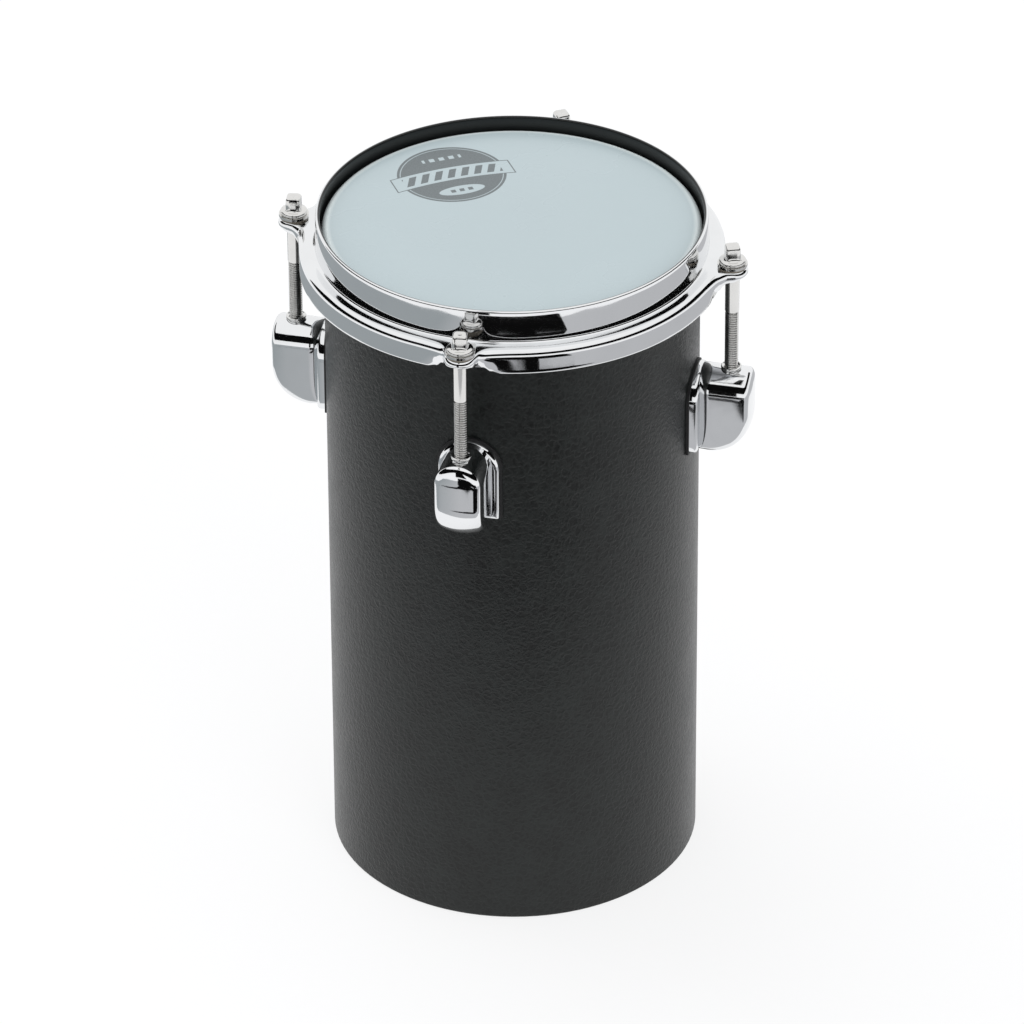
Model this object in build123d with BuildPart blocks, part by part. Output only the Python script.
"""A six-inch tube drum: a tall, open-bottomed tube with one head, a flanged hoop and four tube lugs.

Units are millimetres. The origin is the centre of the bottom rim, +Z points up to the head, and the
four lug stations stand on the -Y, +X, +Y and -X sides. Every station is built once on the +X side
and copied round the drum.
"""

import os
from math import sqrt

from build123d import *

# ---------------------------------------------------------------- driving dimensions
# Tube
TUBE_DIAMETER = 150.0
TUBE_WALL = 5.0
TUBE_LENGTH = 284.0
EDGE_ROUND = 1.8  # outside of the bearing edge
EDGE_CREST = 0.8  # flat ring that the head sits on
FOOT_CHAMFER = 0.7

# Head
FILM_THICKNESS = 0.35
FILM_DEPTH = 17.6  # from the playing surface down to the film's hem
FLESH_HOOP_WIDTH = 5.65
FLESH_HOOP_HEIGHT = 8.0
FLESH_HOOP_WALL = 1.0
RESIN_GAP = 1.0  # the resin stops this far below the channel's top

# Counter hoop, pressed from sheet
HOOP_SHEET = 1.7
HOOP_COLLAR_HEIGHT = 13.6  # from the shoulder's top to the striking edge
HOOP_RISE = 5.15  # striking edge above the playing surface
HOOP_SKIRT_HEIGHT = 10.5
HOOP_BEND = 2.2
EAR_END_RADIUS = 6.8
EAR_ROOT_WIDTH = 28.0
EAR_LIP_DEPTH = 8.0  # the lip under an ear, at the skirt
EAR_TIP_LIP_DEPTH = 3.0  # and at the ear's end
EAR_NOTCH_TOP = 26.0
EAR_NOTCH_BOTTOM = 38.0

# Tension rods
ROD_STANDOFF = 4.6  # from the skirt to a rod's axis
ROD_SHANK_DIAMETER = 5.7
ROD_THREAD_DIAMETER = 5.5
ROD_SHANK_LENGTH = 22.5
ROD_LENGTH = 66.5  # under the flange
ROD_FLANGE_DIAMETER = 10.8
ROD_FLANGE_THICKNESS = 1.8
ROD_SQUARE = 6.3
ROD_SQUARE_HEIGHT = 7.4
STEEL_WASHER_DIAMETER = 12.0
STEEL_WASHER_THICKNESS = 1.0
NYLON_WASHER_DIAMETER = 11.2
NYLON_WASHER_THICKNESS = 0.8

# Lugs
LUG_TOP_BELOW_EDGE = 55.0  # lug ridge below the tube's top
LUG_WIDTH = 18.4
LUG_HEIGHT = 34.5
LUG_NOSE = 8.1  # from a rod's axis to the lug's front
LUG_CHIN_RADIUS = 15.5  # the big curve under the front
LUG_EDGE_ROUND = 2.2
LUG_WALL = 2.0
LUG_ROOF = 4.5  # thickness above the nut
LUG_FLANGE_OVERHANG = 3.1  # the flange is wider than the lug by this on each side
FLANGE_THICKNESS = 2.4
FLANGE_EDGE_ROUND = 1.0
GASKET_THICKNESS = 1.0
GASKET_MARGIN = 0.8

# Swivel nuts and their retainers
NUT_WALL = 2.05
NUT_HEIGHT = 9.0
NUT_COLLAR_WALL = 1.35
NUT_COLLAR_RISE = 1.4  # stands out of the lug's roof
RETAINER_HEIGHT = 8.0
RETAINER_NOSE = 1.8  # past a rod's axis

# Lug screws
SCREW_DIAMETER = 4.0
SCREW_HEAD_RIM = 1.75  # head's radius less the screw's
SCREW_HEAD_HEIGHT = 2.6
SCREW_WASHER_RIM = 2.5
SCREW_WASHER_THICKNESS = 1.0
SCREW_BITE = 5.2  # thread held inside a boss
UPPER_SCREW_DROP = 7.5  # below the lug's ridge
LOWER_SCREW_RISE = 7.5  # above the lug's foot
BOSS_WALL = 2.0
BOSS_WEB = 1.4  # metal left in front of a screw's tip
SCREW_HOLE_SPACE = 0.8  # added to a screw's diameter where it passes the tube

# Clearances
THREAD_CLEARANCE = 0.05
FILM_CLEARANCE = 0.3
NUT_CLEARANCE = 0.3
COLLAR_CLEARANCE = 0.5
HOOP_CLEARANCE = 1.6  # between the tube and the hoop's collar
SKIRT_CLEARANCE = 1.5  # between the flesh hoop and the skirt
EAR_HOLE_CLEARANCE = 0.45
WASHER_CLEARANCE = 0.25
RETAINER_BACK_CLEARANCE = 0.6

# ---------------------------------------------------------------- derived values
TUBE_RADIUS = TUBE_DIAMETER / 2
BORE_RADIUS = TUBE_RADIUS - TUBE_WALL
HEAD_TOP = TUBE_LENGTH + FILM_THICKNESS
HOOP_TOP = HEAD_TOP + HOOP_RISE
SHOULDER_TOP = HOOP_TOP - HOOP_COLLAR_HEIGHT
SHOULDER_UNDER = SHOULDER_TOP - HOOP_SHEET
HOOP_INNER_RADIUS = TUBE_RADIUS + HOOP_CLEARANCE
FILM_INNER_RADIUS = TUBE_RADIUS + FILM_CLEARANCE
FILM_OUTER_RADIUS = FILM_INNER_RADIUS + FILM_THICKNESS
FLESH_INNER_RADIUS = FILM_OUTER_RADIUS + FILM_CLEARANCE
FLESH_OUTER_RADIUS = FLESH_INNER_RADIUS + FLESH_HOOP_WIDTH
SHOULDER_RADIUS = FLESH_OUTER_RADIUS + SKIRT_CLEARANCE + HOOP_SHEET
ROD_CIRCLE_RADIUS = SHOULDER_RADIUS + ROD_STANDOFF
EAR_HOLE_RADIUS = ROD_SHANK_DIAMETER / 2 + EAR_HOLE_CLEARANCE
WASHER_BORE_RADIUS = ROD_SHANK_DIAMETER / 2 + WASHER_CLEARANCE
ROD_SEAT = SHOULDER_TOP + NYLON_WASHER_THICKNESS + STEEL_WASHER_THICKNESS

LUG_TOP = TUBE_LENGTH - LUG_TOP_BELOW_EDGE
LUG_FOOT = LUG_TOP - LUG_HEIGHT
LUG_FRONT = ROD_CIRCLE_RADIUS + LUG_NOSE
LUG_BACK = TUBE_RADIUS + GASKET_THICKNESS
BLANK_BACK = BORE_RADIUS  # casting blanks start here and are trimmed to the tube
CHIN_TOP = LUG_FOOT + LUG_CHIN_RADIUS
FLANGE_WIDTH = LUG_WIDTH + 2 * LUG_FLANGE_OVERHANG
NUT_SQUARE = ROD_THREAD_DIAMETER + 2 * NUT_WALL
NUT_COLLAR_DIAMETER = ROD_THREAD_DIAMETER + 2 * NUT_COLLAR_WALL
NUT_TOP = LUG_TOP - LUG_ROOF
NUT_FOOT = NUT_TOP - NUT_HEIGHT
RETAINER_TOP = NUT_FOOT - NUT_CLEARANCE
UPPER_SCREW = LUG_TOP - UPPER_SCREW_DROP
LOWER_SCREW = LUG_FOOT + LOWER_SCREW_RISE
SCREW_HEIGHTS = (UPPER_SCREW, LOWER_SCREW)
SCREW_HEAD_DIAMETER = SCREW_DIAMETER + 2 * SCREW_HEAD_RIM
SCREW_WASHER_DIAMETER = SCREW_DIAMETER + 2 * SCREW_WASHER_RIM
SCREW_HOLE_DIAMETER = SCREW_DIAMETER + SCREW_HOLE_SPACE
BOSS_HEIGHT = SCREW_DIAMETER + 2 * BOSS_WALL
WASHER_FACE = sqrt(BORE_RADIUS**2 - (SCREW_WASHER_DIAMETER / 2) ** 2) - 0.01
SCREW_TIP = LUG_BACK + SCREW_BITE
BOSS_FRONT = SCREW_TIP + BOSS_WEB
RETAINER_BACK = LUG_BACK + RETAINER_BACK_CLEARANCE
RETAINER_DEPTH = ROD_CIRCLE_RADIUS + RETAINER_NOSE - RETAINER_BACK

STATIONS = {"front": -90, "right": 0, "back": 90, "left": 180}


def write(piece, name):
    """Label a finished piece and write its STEP file."""
    piece.label = name
    export_step(piece, f"parts/{name}.step")


def write_at_stations(piece, name):
    """Write one copy of a +X piece for each of the four lug stations."""
    for station, angle in STATIONS.items():
        with BuildPart() as placed:
            with PolarLocations(0, 1, start_angle=angle):
                add(piece)
        write(placed.part, f"{name}_{station}")


def radial_plane(distance, height):
    """A plane that faces outwards on the +X side, at this distance from the axis."""
    return Plane(origin=(distance, 0, height), x_dir=(0, 1, 0), z_dir=(1, 0, 0))


def rod_plane(height):
    """A level plane centred on the +X tension rod."""
    return Plane(origin=(ROD_CIRCLE_RADIUS, 0, height))


# ---------------------------------------------------------------- tube
def build_tube():
    """The tube: a plain wall with a bearing edge on top and drilled lug stations."""
    crest_outer = TUBE_RADIUS - EDGE_ROUND
    crest_inner = crest_outer - EDGE_CREST
    bevel = crest_inner - BORE_RADIUS
    with BuildPart() as tube:
        with BuildSketch(Plane.XZ):
            with BuildLine():
                Polyline(
                    (TUBE_RADIUS, TUBE_LENGTH - EDGE_ROUND),
                    (TUBE_RADIUS, FOOT_CHAMFER),
                    (TUBE_RADIUS - FOOT_CHAMFER, 0),
                    (BORE_RADIUS + FOOT_CHAMFER, 0),
                    (BORE_RADIUS, FOOT_CHAMFER),
                    (BORE_RADIUS, TUBE_LENGTH - bevel),
                    (crest_inner, TUBE_LENGTH),
                    (crest_outer, TUBE_LENGTH),
                )
                RadiusArc(
                    (crest_outer, TUBE_LENGTH),
                    (TUBE_RADIUS, TUBE_LENGTH - EDGE_ROUND),
                    EDGE_ROUND,
                )
            make_face()
        revolve(axis=Axis.Z)
        for angle in STATIONS.values():
            with PolarLocations(0, 1, start_angle=angle):
                with Locations(*[radial_plane(TUBE_RADIUS, height) for height in SCREW_HEIGHTS]):
                    Cylinder(SCREW_HOLE_DIAMETER / 2, 4 * TUBE_WALL, mode=Mode.SUBTRACT)
    write(tube.part, "tube_shell")


# ---------------------------------------------------------------- head
def build_head_film():
    """The film: a flat playing surface that turns down over the bearing edge into a skirt."""
    bend_inner = EDGE_ROUND + FILM_CLEARANCE
    bend_outer = bend_inner + FILM_THICKNESS
    bend_start = FILM_INNER_RADIUS - bend_inner
    hem = HEAD_TOP - FILM_DEPTH
    with BuildPart() as film:
        with BuildSketch(Plane.XZ):
            with BuildLine():
                Polyline((bend_start, HEAD_TOP), (0, HEAD_TOP), (0, TUBE_LENGTH), (bend_start, TUBE_LENGTH))
                inner_end = (FILM_INNER_RADIUS, TUBE_LENGTH - bend_inner)
                RadiusArc((bend_start, TUBE_LENGTH), inner_end, bend_inner)
                Polyline(
                    inner_end,
                    (FILM_INNER_RADIUS, hem),
                    (FILM_OUTER_RADIUS, hem),
                    (FILM_OUTER_RADIUS, HEAD_TOP - bend_outer),
                )
                RadiusArc((bend_start, HEAD_TOP), (FILM_OUTER_RADIUS, HEAD_TOP - bend_outer), bend_outer)
            make_face()
        revolve(axis=Axis.Z)
    write(film.part, "head_film")


def build_flesh_hoop():
    """The head's own ring, an upward channel that the counter hoop's shoulder presses on."""
    with BuildPart() as channel:
        with BuildSketch(Plane.XY.offset(SHOULDER_UNDER - FLESH_HOOP_HEIGHT)):
            Circle(FLESH_OUTER_RADIUS)
            Circle(FLESH_INNER_RADIUS, mode=Mode.SUBTRACT)
        extrude(amount=FLESH_HOOP_HEIGHT)
        with BuildSketch(Plane.XY.offset(SHOULDER_UNDER)):
            Circle(FLESH_OUTER_RADIUS - FLESH_HOOP_WALL)
            Circle(FLESH_INNER_RADIUS + FLESH_HOOP_WALL, mode=Mode.SUBTRACT)
        extrude(amount=FLESH_HOOP_WALL - FLESH_HOOP_HEIGHT, mode=Mode.SUBTRACT)
    write(channel.part, "head_flesh_hoop")


def build_resin_ring():
    """The cured resin that fills the channel."""
    floor = SHOULDER_UNDER - FLESH_HOOP_HEIGHT + FLESH_HOOP_WALL
    outer = FLESH_OUTER_RADIUS - FLESH_HOOP_WALL
    with BuildPart() as resin:
        with BuildSketch(Plane.XY.offset(floor)):
            Circle(outer)
            Circle(FLESH_INNER_RADIUS + FLESH_HOOP_WALL, mode=Mode.SUBTRACT)
        extrude(amount=SHOULDER_UNDER - RESIN_GAP - floor)
    write(resin.part, "head_resin_ring")


# ---------------------------------------------------------------- counter hoop
def build_hoop():
    """The counter hoop: a collar, a shoulder and a skirt in one sheet, with four ears."""
    collar_outer = HOOP_INNER_RADIUS + HOOP_SHEET
    skirt_inner = SHOULDER_RADIUS - HOOP_SHEET
    skirt_foot = SHOULDER_TOP - HOOP_SKIRT_HEIGHT
    with BuildPart() as hoop:
        with BuildSketch(Plane.XZ) as section:
            with BuildLine():
                Polyline(
                    (HOOP_INNER_RADIUS, HOOP_TOP),
                    (collar_outer, HOOP_TOP),
                    (collar_outer, SHOULDER_TOP),
                    (SHOULDER_RADIUS, SHOULDER_TOP),
                    (SHOULDER_RADIUS, skirt_foot),
                    (skirt_inner, skirt_foot),
                    (skirt_inner, SHOULDER_UNDER),
                    (HOOP_INNER_RADIUS, SHOULDER_UNDER),
                    close=True,
                )
            make_face()
            corners = section.vertices()
            shoulder_edge = corners.sort_by_distance((SHOULDER_RADIUS, SHOULDER_TOP))[0]
            collar_foot = corners.sort_by_distance((HOOP_INNER_RADIUS, SHOULDER_UNDER))[0]
            fillet([shoulder_edge, collar_foot], HOOP_BEND)
            inner_bends = section.vertices()
            fillet(inner_bends.sort_by_distance((collar_outer, SHOULDER_TOP))[0], HOOP_BEND - HOOP_SHEET)
            inner_bends = section.vertices()
            fillet(inner_bends.sort_by_distance((skirt_inner, SHOULDER_UNDER))[0], HOOP_BEND - HOOP_SHEET)
            rolled = section.vertices().group_by(Axis.Y)[-1]
            fillet(rolled, 0.45 * HOOP_SHEET)
        revolve(axis=Axis.Z)
        for angle in STATIONS.values():
            with PolarLocations(0, 1, start_angle=angle):
                add(ear_notch(), mode=Mode.SUBTRACT)
                add(ear_plate())
                with Locations(rod_plane(SHOULDER_TOP)):
                    Cylinder(EAR_HOLE_RADIUS, 4 * HOOP_SHEET, mode=Mode.SUBTRACT)
    write(hoop.part, "counter_hoop")


def ear_notch():
    """The window that an ear leaves in the skirt."""
    with BuildPart(mode=Mode.PRIVATE) as notch:
        with BuildSketch(radial_plane(SHOULDER_RADIUS - 3 * HOOP_SHEET, 0)):
            with BuildLine():
                foot = SHOULDER_TOP - HOOP_SKIRT_HEIGHT - HOOP_SHEET
                Polyline(
                    (-EAR_NOTCH_BOTTOM / 2, foot),
                    (EAR_NOTCH_BOTTOM / 2, foot),
                    (EAR_NOTCH_TOP / 2, SHOULDER_UNDER),
                    (-EAR_NOTCH_TOP / 2, SHOULDER_UNDER),
                    close=True,
                )
            make_face()
        extrude(amount=6 * HOOP_SHEET)
    return notch.part


def ear_outline(inset=0.0):
    """An ear from above: it tapers from the shoulder to a round end about the rod."""
    root = SHOULDER_RADIUS - 3 * HOOP_SHEET
    with BuildSketch(Plane.XY, mode=Mode.PRIVATE) as outline:
        with Locations((ROD_CIRCLE_RADIUS, 0)):
            Circle(EAR_END_RADIUS - inset)
        with Locations((root, 0)):
            Rectangle(HOOP_SHEET, EAR_ROOT_WIDTH - 2.3 * inset)
        make_hull()
    return outline.sketch


def ear_plate():
    """One ear: a flat plate level with the shoulder and a lip that grows deeper towards the skirt."""
    lip_root = SHOULDER_RADIUS - HOOP_SHEET
    lip_tip = ROD_CIRCLE_RADIUS + EAR_END_RADIUS
    with BuildPart(mode=Mode.PRIVATE) as lip:
        with BuildSketch(Plane.XY.offset(SHOULDER_UNDER - EAR_LIP_DEPTH)):
            add(ear_outline())
            add(ear_outline(inset=HOOP_SHEET), mode=Mode.SUBTRACT)
        extrude(amount=EAR_LIP_DEPTH + HOOP_SHEET)
        with BuildSketch(Plane.XZ):
            with BuildLine():
                Polyline(
                    (lip_root, SHOULDER_TOP),
                    (lip_tip, SHOULDER_TOP),
                    (lip_tip, SHOULDER_TOP - EAR_TIP_LIP_DEPTH),
                    (lip_root, SHOULDER_TOP - EAR_LIP_DEPTH),
                    close=True,
                )
            make_face()
        extrude(amount=EAR_ROOT_WIDTH, both=True, mode=Mode.INTERSECT)
    with BuildPart(mode=Mode.PRIVATE) as ear:
        with BuildSketch(Plane.XY.offset(SHOULDER_UNDER)):
            add(ear_outline())
        extrude(amount=HOOP_SHEET)
        add(lip.part)
        fillet(ear.edges().group_by(Axis.Z)[-1].filter_by(lambda edge: edge.center().X > lip_root), 1.0)
    return ear.part


# ---------------------------------------------------------------- tension rods and washers
def build_rods():
    """The tension rods: a square key head on a flange, a plain shank and a threaded end."""
    with BuildPart() as rod:
        with BuildSketch(rod_plane(ROD_SEAT)):
            Circle(ROD_FLANGE_DIAMETER / 2)
        extrude(amount=ROD_FLANGE_THICKNESS)
        chamfer(rod.edges().group_by(Axis.Z)[-1], 0.4)
        with BuildSketch(rod_plane(ROD_SEAT + ROD_FLANGE_THICKNESS)):
            Rectangle(ROD_SQUARE, ROD_SQUARE)
        extrude(amount=ROD_SQUARE_HEIGHT)
        chamfer(rod.edges().group_by(Axis.Z)[-1], 0.5)
        with BuildSketch(rod_plane(ROD_SEAT)):
            Circle(ROD_SHANK_DIAMETER / 2)
        extrude(amount=-ROD_SHANK_LENGTH)
        with BuildSketch(rod_plane(ROD_SEAT - ROD_SHANK_LENGTH)):
            Circle(ROD_THREAD_DIAMETER / 2)
        extrude(amount=ROD_SHANK_LENGTH - ROD_LENGTH)
        chamfer(rod.edges().group_by(Axis.Z)[0], 0.8)
    write_at_stations(rod.part, "tension_rod")


def build_rod_washers():
    """A nylon washer on each ear with a steel washer on it."""
    with BuildPart() as nylon:
        with BuildSketch(rod_plane(SHOULDER_TOP)):
            Circle(NYLON_WASHER_DIAMETER / 2)
            Circle(WASHER_BORE_RADIUS, mode=Mode.SUBTRACT)
        extrude(amount=NYLON_WASHER_THICKNESS)
    with BuildPart() as steel:
        with BuildSketch(rod_plane(SHOULDER_TOP + NYLON_WASHER_THICKNESS)):
            Circle(STEEL_WASHER_DIAMETER / 2)
            Circle(WASHER_BORE_RADIUS, mode=Mode.SUBTRACT)
        extrude(amount=STEEL_WASHER_THICKNESS)
    write_at_stations(nylon.part, "nylon_washer")
    write_at_stations(steel.part, "rod_washer")


# ---------------------------------------------------------------- lugs
def arch(width, foot, top):
    """The outline of an arch: straight sides under a half-round top."""
    radius = width / 2
    with BuildLine(Plane.XY, mode=Mode.PRIVATE) as outline:
        Polyline((radius, top - radius), (radius, foot), (-radius, foot), (-radius, top - radius))
        RadiusArc((-radius, top - radius), (radius, top - radius), radius)
    return outline.edges()


def lug_side_profile(front, foot, top, chin):
    """The outline of a lug from the side: square above, one big curve below the front."""
    back = BLANK_BACK
    curve_start = (front, foot + chin)
    curve_end = (front - chin, foot)
    with BuildLine(Plane.XY, mode=Mode.PRIVATE) as outline:
        Polyline(curve_end, (back, foot), (back, top), (front, top), curve_start)
        RadiusArc(curve_start, curve_end, chin)
    return outline.edges()


def lug_cavity():
    """The hollow that holds the nut and its retainer, open towards the tube."""
    with BuildPart(mode=Mode.PRIVATE) as cavity:
        with BuildSketch(radial_plane(BLANK_BACK, 0)):
            make_face(arch(LUG_WIDTH - 2 * LUG_WALL, LUG_FOOT + LUG_WALL, LUG_TOP - LUG_WALL))
        extrude(amount=LUG_FRONT - BLANK_BACK)
        with BuildSketch(Plane.XZ):
            inner_chin = LUG_CHIN_RADIUS - LUG_WALL
            make_face(lug_side_profile(LUG_FRONT - LUG_WALL, LUG_FOOT + LUG_WALL, NUT_TOP, inner_chin))
        extrude(amount=LUG_WIDTH, both=True, mode=Mode.INTERSECT)
        for height in SCREW_HEIGHTS:
            with Locations(((BLANK_BACK + BOSS_FRONT) / 2, 0, height)):
                Box(BOSS_FRONT - BLANK_BACK, LUG_WIDTH, BOSS_HEIGHT, mode=Mode.SUBTRACT)
    return cavity.part


def lug_body():
    """The arched box of one lug with its chin curve and rounded front edges."""
    with BuildPart(mode=Mode.PRIVATE) as body:
        with BuildSketch(radial_plane(BLANK_BACK, 0)):
            make_face(arch(LUG_WIDTH, LUG_FOOT, LUG_TOP))
        extrude(amount=LUG_FRONT - BLANK_BACK)
        with BuildSketch(Plane.XZ):
            make_face(lug_side_profile(LUG_FRONT, LUG_FOOT, LUG_TOP, LUG_CHIN_RADIUS))
        extrude(amount=LUG_WIDTH, both=True, mode=Mode.INTERSECT)
        front_edges = body.faces().sort_by(Axis.X)[-1].edges()
        chin_edges = body.edges().filter_by(
            lambda edge: edge.center().X > LUG_BACK + FLANGE_THICKNESS and edge.center().Z < CHIN_TOP - 0.1
        )
        sides = front_edges.filter_by(lambda edge: abs(edge.center().Z - CHIN_TOP) > 0.1)
        chin_sides = chin_edges.filter_by(lambda edge: abs(edge.center().Y) > LUG_WIDTH / 4)
        fillet(sides + chin_sides, LUG_EDGE_ROUND)
    return body.part


def build_lug_casings():
    """The cast lugs: a hollow arched box on a flange that fits the tube."""
    with BuildPart() as casing:
        with BuildSketch(radial_plane(BLANK_BACK, 0)):
            make_face(arch(FLANGE_WIDTH, LUG_FOOT, LUG_TOP))
        extrude(amount=LUG_BACK + FLANGE_THICKNESS - BLANK_BACK)
        fillet(casing.faces().sort_by(Axis.X)[-1].edges(), FLANGE_EDGE_ROUND)
        add(lug_body())
        Cylinder(LUG_BACK, 4 * TUBE_LENGTH, mode=Mode.SUBTRACT)
        add(lug_cavity(), mode=Mode.SUBTRACT)
        with Locations(rod_plane(LUG_TOP)):
            Cylinder(NUT_COLLAR_DIAMETER / 2 + COLLAR_CLEARANCE, 3 * LUG_ROOF, mode=Mode.SUBTRACT)
        with Locations(*[radial_plane(LUG_BACK, height) for height in SCREW_HEIGHTS]):
            Cylinder(
                SCREW_DIAMETER / 2 + THREAD_CLEARANCE,
                2 * (SCREW_BITE + THREAD_CLEARANCE),
                mode=Mode.SUBTRACT,
            )
    write_at_stations(casing.part, "lug_casing")


def build_lug_gaskets():
    """The thin rubber pads between the lugs and the tube."""
    with BuildPart() as gasket:
        with BuildSketch(radial_plane(BLANK_BACK, 0)):
            width = FLANGE_WIDTH + 2 * GASKET_MARGIN
            make_face(arch(width, LUG_FOOT - GASKET_MARGIN, LUG_TOP + GASKET_MARGIN))
        extrude(amount=2 * TUBE_WALL + GASKET_THICKNESS)
        Cylinder(LUG_BACK, 4 * TUBE_LENGTH, mode=Mode.INTERSECT)
        Cylinder(TUBE_RADIUS, 4 * TUBE_LENGTH, mode=Mode.SUBTRACT)
        with Locations(*[radial_plane(LUG_BACK, height) for height in SCREW_HEIGHTS]):
            Cylinder(SCREW_HOLE_DIAMETER / 2, 4 * TUBE_WALL, mode=Mode.SUBTRACT)
    write_at_stations(gasket.part, "lug_gasket")


def build_swivel_nuts():
    """The nuts: a square body under the lug's roof and a collar that stands out of it."""
    with BuildPart() as nut:
        with BuildSketch(rod_plane(NUT_FOOT)):
            Rectangle(NUT_SQUARE, NUT_SQUARE)
        extrude(amount=NUT_HEIGHT)
        chamfer(nut.edges().filter_by(Axis.Z), 1.2)
        with BuildSketch(rod_plane(NUT_TOP)):
            Circle(NUT_COLLAR_DIAMETER / 2)
        extrude(amount=LUG_ROOF + NUT_COLLAR_RISE)
        chamfer(nut.edges().group_by(Axis.Z)[-1], 0.4)
        with Locations(rod_plane(NUT_TOP)):
            Cylinder(ROD_THREAD_DIAMETER / 2 + THREAD_CLEARANCE, 6 * NUT_HEIGHT, mode=Mode.SUBTRACT)
    write_at_stations(nut.part, "swivel_nut")


def build_nut_retainers():
    """The moulded blocks that hold the nuts up against the roof."""
    width = LUG_WIDTH - 2 * LUG_WALL - 2 * NUT_CLEARANCE
    with BuildPart() as retainer:
        with BuildSketch(Plane.XY.offset(RETAINER_TOP)):
            with Locations((RETAINER_BACK + RETAINER_DEPTH / 2, 0)):
                Rectangle(RETAINER_DEPTH, width)
        extrude(amount=-RETAINER_HEIGHT)
        with Locations(rod_plane(RETAINER_TOP)):
            Cylinder(ROD_THREAD_DIAMETER / 2 + NUT_CLEARANCE, 4 * RETAINER_HEIGHT, mode=Mode.SUBTRACT)
        Cylinder(LUG_BACK + NUT_CLEARANCE, 4 * TUBE_LENGTH, mode=Mode.SUBTRACT)
    write_at_stations(retainer.part, "nut_retainer")


# ---------------------------------------------------------------- lug screws
def build_lug_screws():
    """Two pan-head screws for each lug, put in from inside the tube."""
    head_seat = WASHER_FACE - SCREW_WASHER_THICKNESS
    cross_width = 1.1
    cross_length = 4.4
    with BuildPart() as screws:
        for height in SCREW_HEIGHTS:
            with BuildSketch(radial_plane(head_seat, height)):
                Circle(SCREW_DIAMETER / 2)
            extrude(amount=SCREW_TIP - head_seat)
            with BuildSketch(radial_plane(head_seat, height)):
                Circle(SCREW_HEAD_DIAMETER / 2)
            extrude(amount=-SCREW_HEAD_HEIGHT)
        dome_edges = screws.edges().filter_by(GeomType.CIRCLE).group_by(Axis.X)[0]
        fillet(dome_edges, 1.0)
        for height in SCREW_HEIGHTS:
            with BuildSketch(radial_plane(head_seat - SCREW_HEAD_HEIGHT, height)):
                Rectangle(cross_length, cross_width)
                Rectangle(cross_width, cross_length)
            extrude(amount=SCREW_HEAD_HEIGHT / 2, mode=Mode.SUBTRACT)
    write_at_stations(screws.part, "lug_screws")


def build_lug_screw_washers():
    """The plain washers under the screw heads."""
    with BuildPart() as washers:
        for height in SCREW_HEIGHTS:
            with BuildSketch(radial_plane(WASHER_FACE, height)):
                Circle(SCREW_WASHER_DIAMETER / 2)
                Circle(SCREW_HOLE_DIAMETER / 2, mode=Mode.SUBTRACT)
            extrude(amount=-SCREW_WASHER_THICKNESS)
    write_at_stations(washers.part, "lug_screw_washers")


os.makedirs("parts", exist_ok=True)
build_tube()
build_head_film()
build_flesh_hoop()
build_resin_ring()
build_hoop()
build_rods()
build_rod_washers()
build_lug_casings()
build_lug_gaskets()
build_swivel_nuts()
build_nut_retainers()
build_lug_screws()
build_lug_screw_washers()
